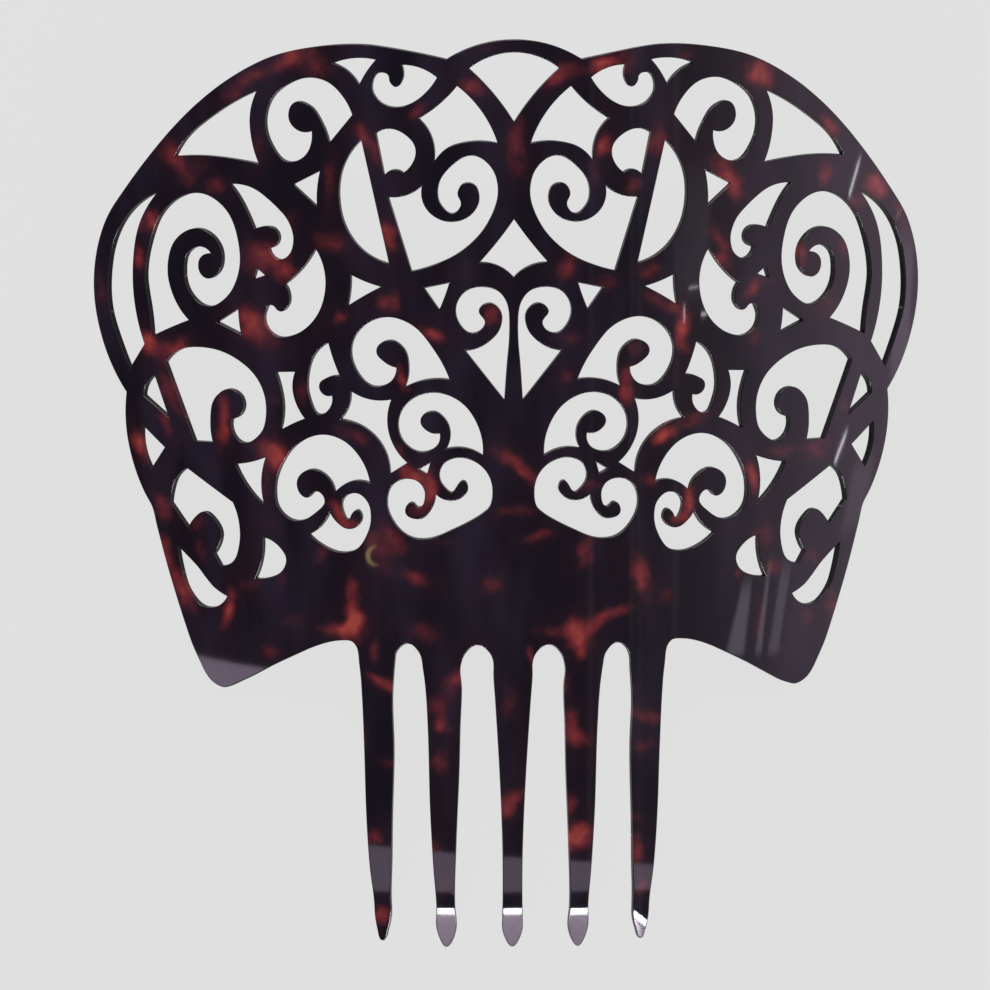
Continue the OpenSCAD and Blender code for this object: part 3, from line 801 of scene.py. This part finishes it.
def card(name, patch, colour, power, fade):
    """A card whose mirror image covers a patch of the sheet.
    fade: share of the patch that fades in at its left, right, lower and upper side."""
    k = CARD_STEPS
    spots, glow = [], []
    for i in range(k + 1):
        for j in range(k + 1):
            s, t = j / k, i / k
            spots.append(mirrored(*patch(s, t)) * MM)
            value = 1.0
            for far, share in zip((s, 1 - s, t, 1 - t), fade):
                if share > 0:
                    f = min(1.0, far / share)
                    value *= f * f * (3 - 2 * f)
            glow.append(value)
    faces = []
    for i in range(k):
        for j in range(k):
            a = i * (k + 1) + j
            faces.append((a, a + 1, a + k + 2, a + k + 1))
    mesh = bpy.data.meshes.new(name)
    mesh.from_pydata([tuple(p) for p in spots], [], faces)
    give(mesh, "glow", glow)
    mesh.materials.append(glow_material(name, colour, power))
    piece = bpy.data.objects.new(name, mesh)
    bpy.context.scene.collection.objects.link(piece)
    piece.visible_camera = False
    piece.visible_diffuse = False
    piece.visible_shadow = False


LAVENDER = (0.96, 0.78, 1.0)
GOLD = (1.0, 0.72, 0.28)
PALE = (0.96, 0.92, 1.0)
COOL = (0.88, 0.86, 1.0)
SOFT = (0.25, 0.25, 0.3, 0.3)
SIDES = (0.25, 0.25, 0.05, 0.35)
EVEN = (0.0, 0.0, 0.0, 0.0)
# Columns: name, lower left, lower right, upper right, upper left, colour, power, fade
CARDS = (
    ("tooth_glow", (-40, -57.4), (40, -57.4), (40, -52.3), (-40, -46.2), LAVENDER, 1.7, EVEN),
    (
        "tip_band",
        (-23, -62.0, 4.95), (22, -62.0, 4.95), (22, -60.1, 1.3), (-23, -60.1, 1.3),
        PALE, 34, EVEN,
    ),
    (
        "facet_glow",
        (-23, -72, 6.2), (22, -72, 6.2), (22, -62.1, 5.02), (-23, -62.1, 5.02),
        LAVENDER, 2.7, EVEN,
    ),
    (
        "slant_band",
        (26, -63.5, 4.4, 40), (36, -66, 4.4, 40), (36, -65, 0.9, 40), (26, -60, 0.9, 40),
        PALE, 34, EVEN,
    ),
    (
        "slant_glow",
        (26, -72, 6.2, 40), (36, -72, 6.2, 40), (36, -66, 4.8, 40), (26, -63.5, 4.8, 40),
        LAVENDER, 2.7, EVEN,
    ),
    ("corner_glow", (-80, -16), (-50, -16), (-54, -7.0), (-80, -4.2), LAVENDER, 3.1, EVEN),
    ("band_streak", (49, -5), (55, -5), (57, 16), (54.5, 16), COOL, 1.5, SIDES),
    ("thin_streak", (57, -5), (59, -5), (62, 20), (60.8, 20), COOL, 1.3, SIDES),
    ("far_streak", (60, -5), (63.5, -5), (67.5, 20), (64.5, 20), COOL, 1.0, SIDES),
    ("side_streak", (78, 18), (86, 22), (91, 44), (83, 42), LAVENDER, 0.65, SOFT),
    ("rim_streak", (92, 50), (99, 50), (101, 96), (95, 96), LAVENDER, 1.0, SOFT),
    ("haze", (36, 72), (46, 72), (47, 114), (38, 114), (1.0, 0.9, 1.0), 0.3, SOFT),
    ("glint_high", (80.6, 100.4), (81.3, 100.4), (84.9, 110.8), (84.2, 110.8), PALE, 14, SIDES),
    ("glint_low", (77.4, 38.8), (78.2, 38.8), (82.1, 48), (81.3, 48), COOL, 16, SIDES),
    ("glint_left", (39.1, 73), (39.6, 73), (39.6, 78), (39.1, 78), PALE, 7, SIDES),
    ("glint_spot", (43.2, 74.3), (45, 74.6), (44.8, 75.6), (43.2, 75.4), PALE, 12, SOFT),
    ("glint_bar", (40, 80.5), (43.2, 81), (43.2, 81.7), (40, 81.3), PALE, 7, SOFT),
    ("rim_glint", (94.2, 94), (96.6, 97.6), (96.9, 98.2), (94, 94.8), LAVENDER, 3, SOFT),
)
# a lamp's bent image: middle u and v, radius, width, and the directions of its two ends
CRESCENT = (-31.2, 20.3, 2.1, 1.1, 80, 290)
CRESCENT_POWER = 4.0


def make_cards():
    for name, ll, lr, ur, ul, colour, power, fade in CARDS:
        card(name, quad(ll, lr, ur, ul), colour, power, fade)
    card("crescent", arc(*CRESCENT), GOLD, CRESCENT_POWER, EVEN)


# Floor, world and key light
FLOOR_LIGHT = 0.72
FLOOR_COLOUR = (0.035, 0.032, 0.036, 1.0)
FLOOR_HALF = 4.0


def make_floor():
    mesh = bpy.data.meshes.new("floor")
    h = FLOOR_HALF
    mesh.from_pydata([(-h, -h, 0), (h, -h, 0), (h, h, 0), (-h, h, 0)], [], [(0, 1, 2, 3)])
    material = bpy.data.materials.new("floor")
    material.use_nodes = True
    n = Nodes(material.node_tree)
    lit = n.add("ShaderNodeEmission", {"Color": (1, 1, 1, 1), "Strength": FLOOR_LIGHT})
    matt = n.add("ShaderNodeBsdfDiffuse", {"Color": FLOOR_COLOUR})
    both = n.add("ShaderNodeAddShader", {0: lit.outputs[0], 1: matt.outputs[0]})
    n.add("ShaderNodeOutputMaterial", {"Surface": both.outputs[0]})
    mesh.materials.append(material)
    floor = bpy.data.objects.new("floor", mesh)
    bpy.context.scene.collection.objects.link(floor)


WORLD_LIGHT = 0.8
WORLD_TINT = (0.97, 0.93, 1.0, 1.0)
# What mirrors show of the room from left to right: how far east, and the light there
ROOM = (
    (-1.0, (0.10, 0.08, 0.12)),
    (0.0, (0.15, 0.12, 0.17)),
    (0.26, (0.15, 0.12, 0.17)),
    (0.272, (0.30, 0.26, 0.34)),
    (0.282, (0.16, 0.13, 0.18)),
    (0.375, (0.18, 0.15, 0.20)),
    (0.385, (0.36, 0.31, 0.40)),
    (0.395, (0.20, 0.17, 0.22)),
    (0.405, (0.34, 0.29, 0.37)),
    (0.42, (0.22, 0.18, 0.24)),
    (0.49, (0.26, 0.22, 0.28)),
    (0.502, (0.50, 0.42, 0.54)),
    (0.515, (0.30, 0.25, 0.31)),
    (0.60, (0.42, 0.34, 0.43)),
    (0.70, (0.62, 0.50, 0.64)),
    (0.82, (0.95, 0.75, 0.97)),
    (0.90, (1.25, 0.97, 1.25)),
)


def make_world():
    world = bpy.data.worlds.new("room")
    world.use_nodes = True
    n = Nodes(world.node_tree)
    way_out = n.add("ShaderNodeTexCoord").outputs["Generated"]
    east = n.add("ShaderNodeSeparateXYZ", {0: way_out}).outputs[0]
    stops = [(0.5 + at / 2, colour) for at, colour in ROOM]
    room = n.ramp(n.maths("MULTIPLY_ADD", east, 0.5, 0.5), stops)
    mirror = n.add("ShaderNodeBackground", {"Color": room, "Strength": 1.0})
    soft = n.add("ShaderNodeBackground", {"Color": WORLD_TINT, "Strength": WORLD_LIGHT})
    glossy = n.add("ShaderNodeLightPath").outputs["Is Glossy Ray"]
    both = n.add("ShaderNodeMixShader", {0: glossy, 1: soft.outputs[0], 2: mirror.outputs[0]})
    n.add("ShaderNodeOutputWorld", {"Surface": both.outputs[0]})
    bpy.context.scene.world = world


KEY_SPOT = (-0.25, 1.0, 0.9)
KEY_SIZE = (0.8, 0.4)
KEY_POWER = 7
KEY_COLOUR = (1.0, 0.95, 0.93)


def make_key():
    data = bpy.data.lights.new("key", "AREA")
    data.shape = "RECTANGLE"
    data.size, data.size_y = KEY_SIZE
    data.energy = KEY_POWER
    data.color = KEY_COLOUR
    key = bpy.data.objects.new("key", data)
    spot = Vector(KEY_SPOT)
    key.location = spot
    key.rotation_euler = spot.to_track_quat("Z", "Y").to_euler()
    bpy.context.scene.collection.objects.link(key)


comb = comb_object()
comb.data.materials.append(tortoiseshell())
comb.data.materials.append(sawn_edge_and_painted_glints())
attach(comb, "root")
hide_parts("comb")
make_camera()
make_floor()
make_world()
make_key()
make_cards()
bpy.context.scene.view_settings.view_transform = "Standard"
